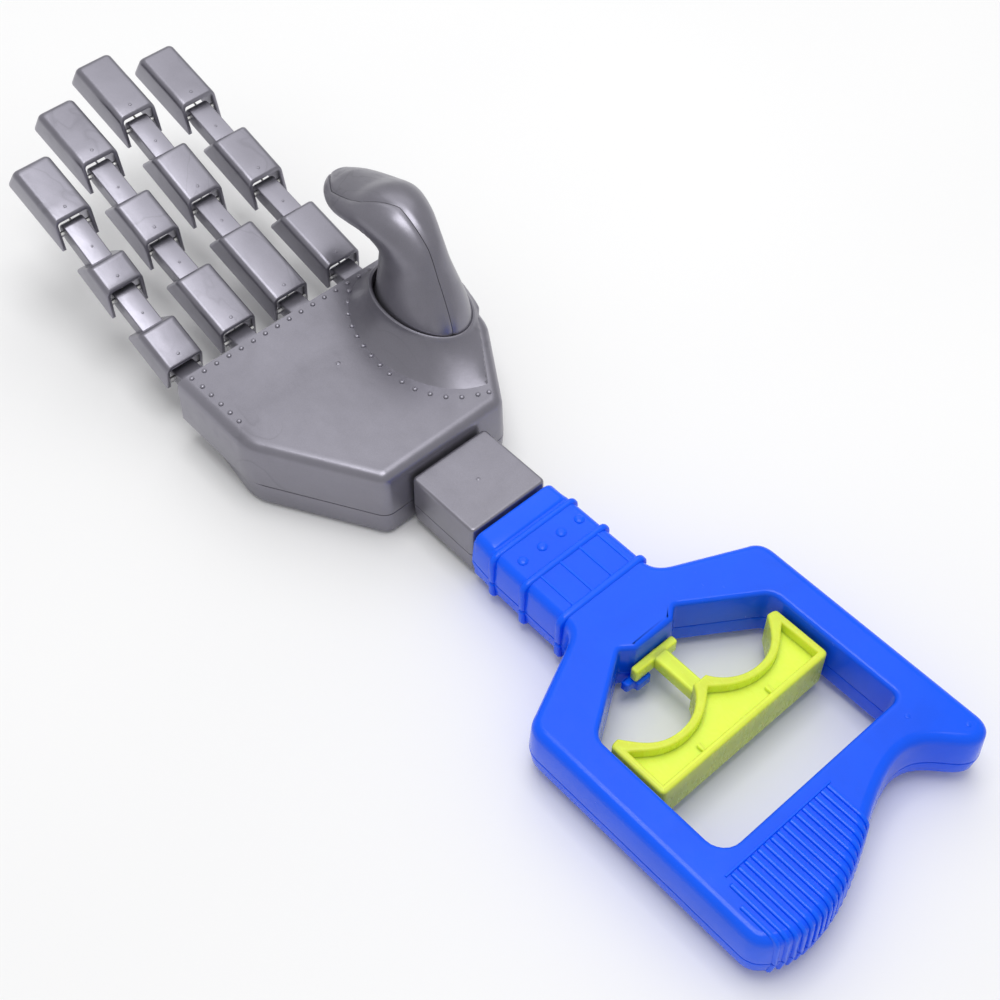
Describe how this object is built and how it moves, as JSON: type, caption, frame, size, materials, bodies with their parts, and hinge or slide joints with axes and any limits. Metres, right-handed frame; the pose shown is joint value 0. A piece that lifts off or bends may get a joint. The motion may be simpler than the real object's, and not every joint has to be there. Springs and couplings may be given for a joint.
{
  "type": "toy hand grabber",
  "caption": "Toy robot hand on a loop handle: a sliding trigger pulls cords that curl its jointed fingers towards a fixed thumb, and the hand turns at the wrist.",
  "frame": {"origin": "centre of the overall box's underside, on the surface that the back of the palm and the heel pad lie on", "axes": "+X from the grip to the fingertips, +Y from the thumb's side to the little finger, +Z out of the palm, upwards when it lies on its back"},
  "size_m": [0.382, 0.0984, 0.0697],
  "materials": {
    "silver_grey_plastic": "silver-grey plastic with a soft metallic sheen",
    "blue_plastic": "glossy bright blue plastic",
    "yellow_plastic": "glossy lime-yellow plastic",
    "steel": "zinc-plated steel",
    "white_nylon": "natural nylon",
    "white_cord": "thin nylon line"
  },
  "bodies": {
    "handle": {"handle_front_shell": "blue_plastic", "handle_back_shell": "blue_plastic", "handle_screw_1": "steel", "handle_screw_2": "steel", "handle_screw_3": "steel", "handle_screw_4": "steel", "handle_screw_5": "steel", "return_spring": "steel"},
    "trigger": {"trigger": "yellow_plastic", "drawbar": "white_nylon"},
    "hand": {"swivel_spool": "white_nylon", "wrist_block_front": "silver_grey_plastic", "wrist_block_back": "silver_grey_plastic", "wrist_screw_1": "steel", "wrist_screw_2": "steel", "palm_front_cover": "silver_grey_plastic", "palm_back_cover": "silver_grey_plastic", "palm_screw_1": "steel", "palm_screw_2": "steel", "palm_screw_3": "steel", "palm_screw_4": "steel", "thumb_screw": "steel", "thumb_inner_half": "silver_grey_plastic", "thumb_outer_half": "silver_grey_plastic", "index_pull_cord": "white_cord", "middle_pull_cord": "white_cord", "ring_pull_cord": "white_cord", "little_pull_cord": "white_cord"},
    "yoke": {"cord_yoke": "white_nylon"},
    "index_proximal": {"index_proximal_shell": "silver_grey_plastic", "index_proximal_pin": "steel"},
    "index_middle": {"index_middle_shell": "silver_grey_plastic", "index_middle_pin": "steel"},
    "index_distal": {"index_distal_shell": "silver_grey_plastic", "index_distal_pin": "steel"},
    "middle_proximal": {"middle_proximal_shell": "silver_grey_plastic", "middle_proximal_pin": "steel"},
    "middle_middle": {"middle_middle_shell": "silver_grey_plastic", "middle_middle_pin": "steel"},
    "middle_distal": {"middle_distal_shell": "silver_grey_plastic", "middle_distal_pin": "steel"},
    "ring_proximal": {"ring_proximal_shell": "silver_grey_plastic", "ring_proximal_pin": "steel"},
    "ring_middle": {"ring_middle_shell": "silver_grey_plastic", "ring_middle_pin": "steel"},
    "ring_distal": {"ring_distal_shell": "silver_grey_plastic", "ring_distal_pin": "steel"},
    "little_proximal": {"little_proximal_shell": "silver_grey_plastic", "little_proximal_pin": "steel"},
    "little_middle": {"little_middle_shell": "silver_grey_plastic", "little_middle_pin": "steel"},
    "little_distal": {"little_distal_shell": "silver_grey_plastic", "little_distal_pin": "steel"}
  },
  "joints": [
    {"name": "trigger_pull", "type": "slide", "parent": "handle", "child": "trigger", "axis": [-1, 0, 0], "range_m": [0, 0.02], "stiffness_N_per_m": 100, "springref_m": -0.01, "deforming": ["return_spring", "index_pull_cord", "middle_pull_cord", "ring_pull_cord", "little_pull_cord"]},
    {"name": "wrist_swivel", "type": "hinge", "parent": "handle", "child": "hand", "pos_m": [-0.03981, 0.00058, 0.01265], "axis": [1, 0, 0], "range_deg": [-90, 90]},
    {"name": "yoke_slide", "type": "slide", "parent": "hand", "child": "yoke", "axis": [-1, 0, 0], "range_m": [0, 0.0202]},
    {"name": "index_proximal_curl", "type": "hinge", "parent": "hand", "child": "index_proximal", "pos_m": [0.07759, -0.02822, 0.0179], "axis": [0, -1, 0], "range_deg": [0, 40.5]},
    {"name": "index_middle_curl", "type": "hinge", "parent": "index_proximal", "child": "index_middle", "pos_m": [0.11965, -0.02822, 0.02777], "axis": [0, -1, 0], "range_deg": [0, 60.5]},
    {"name": "index_distal_curl", "type": "hinge", "parent": "index_middle", "child": "index_distal", "pos_m": [0.15675, -0.02822, 0.03876], "axis": [0, -1, 0], "range_deg": [0, 50.5]},
    {"name": "middle_proximal_curl", "type": "hinge", "parent": "hand", "child": "middle_proximal", "pos_m": [0.07759, -0.00542, 0.0173], "axis": [0, -1, 0], "range_deg": [0, 45.5]},
    {"name": "middle_middle_curl", "type": "hinge", "parent": "middle_proximal", "child": "middle_middle", "pos_m": [0.12401, -0.00542, 0.03026], "axis": [0, -1, 0], "range_deg": [0, 60.5]},
    {"name": "middle_distal_curl", "type": "hinge", "parent": "middle_middle", "child": "middle_distal", "pos_m": [0.15993, -0.00542, 0.04355], "axis": [0, -1, 0], "range_deg": [0, 50.5]},
    {"name": "ring_proximal_curl", "type": "hinge", "parent": "hand", "child": "ring_proximal", "pos_m": [0.07739, 0.01688, 0.0174], "axis": [0, -1, 0], "range_deg": [0, 45.5]},
    {"name": "ring_middle_curl", "type": "hinge", "parent": "ring_proximal", "child": "ring_middle", "pos_m": [0.11806, 0.01688, 0.02937], "axis": [0, -1, 0], "range_deg": [0, 60.5]},
    {"name": "ring_distal_curl", "type": "hinge", "parent": "ring_middle", "child": "ring_distal", "pos_m": [0.15064, 0.01688, 0.04188], "axis": [0, -1, 0], "range_deg": [0, 50.5]},
    {"name": "little_proximal_curl", "type": "hinge", "parent": "hand", "child": "little_proximal", "pos_m": [0.07649, 0.03938, 0.0173], "axis": [0, -1, 0], "range_deg": [0, 40.5]},
    {"name": "little_middle_curl", "type": "hinge", "parent": "little_proximal", "child": "little_middle", "pos_m": [0.10727, 0.03938, 0.02974], "axis": [0, -1, 0], "range_deg": [0, 60.5]},
    {"name": "little_distal_curl", "type": "hinge", "parent": "little_middle", "child": "little_distal", "pos_m": [0.13279, 0.03938, 0.04219], "axis": [0, -1, 0], "range_deg": [0, 50.5]}
  ],
  "couplings": [
    {"joint": "yoke_slide", "follows": "trigger_pull", "ratio": 1},
    {"joint": "index_proximal_curl", "follows": "trigger_pull", "rad_per_m": 34.907},
    {"joint": "index_middle_curl", "follows": "trigger_pull", "rad_per_m": 52.36},
    {"joint": "index_distal_curl", "follows": "trigger_pull", "rad_per_m": 43.633},
    {"joint": "middle_proximal_curl", "follows": "trigger_pull", "rad_per_m": 39.27},
    {"joint": "middle_middle_curl", "follows": "trigger_pull", "rad_per_m": 52.36},
    {"joint": "middle_distal_curl", "follows": "trigger_pull", "rad_per_m": 43.633},
    {"joint": "ring_proximal_curl", "follows": "trigger_pull", "rad_per_m": 39.27},
    {"joint": "ring_middle_curl", "follows": "trigger_pull", "rad_per_m": 52.36},
    {"joint": "ring_distal_curl", "follows": "trigger_pull", "rad_per_m": 43.633},
    {"joint": "little_proximal_curl", "follows": "trigger_pull", "rad_per_m": 34.907},
    {"joint": "little_middle_curl", "follows": "trigger_pull", "rad_per_m": 52.36},
    {"joint": "little_distal_curl", "follows": "trigger_pull", "rad_per_m": 43.633}
  ]
}
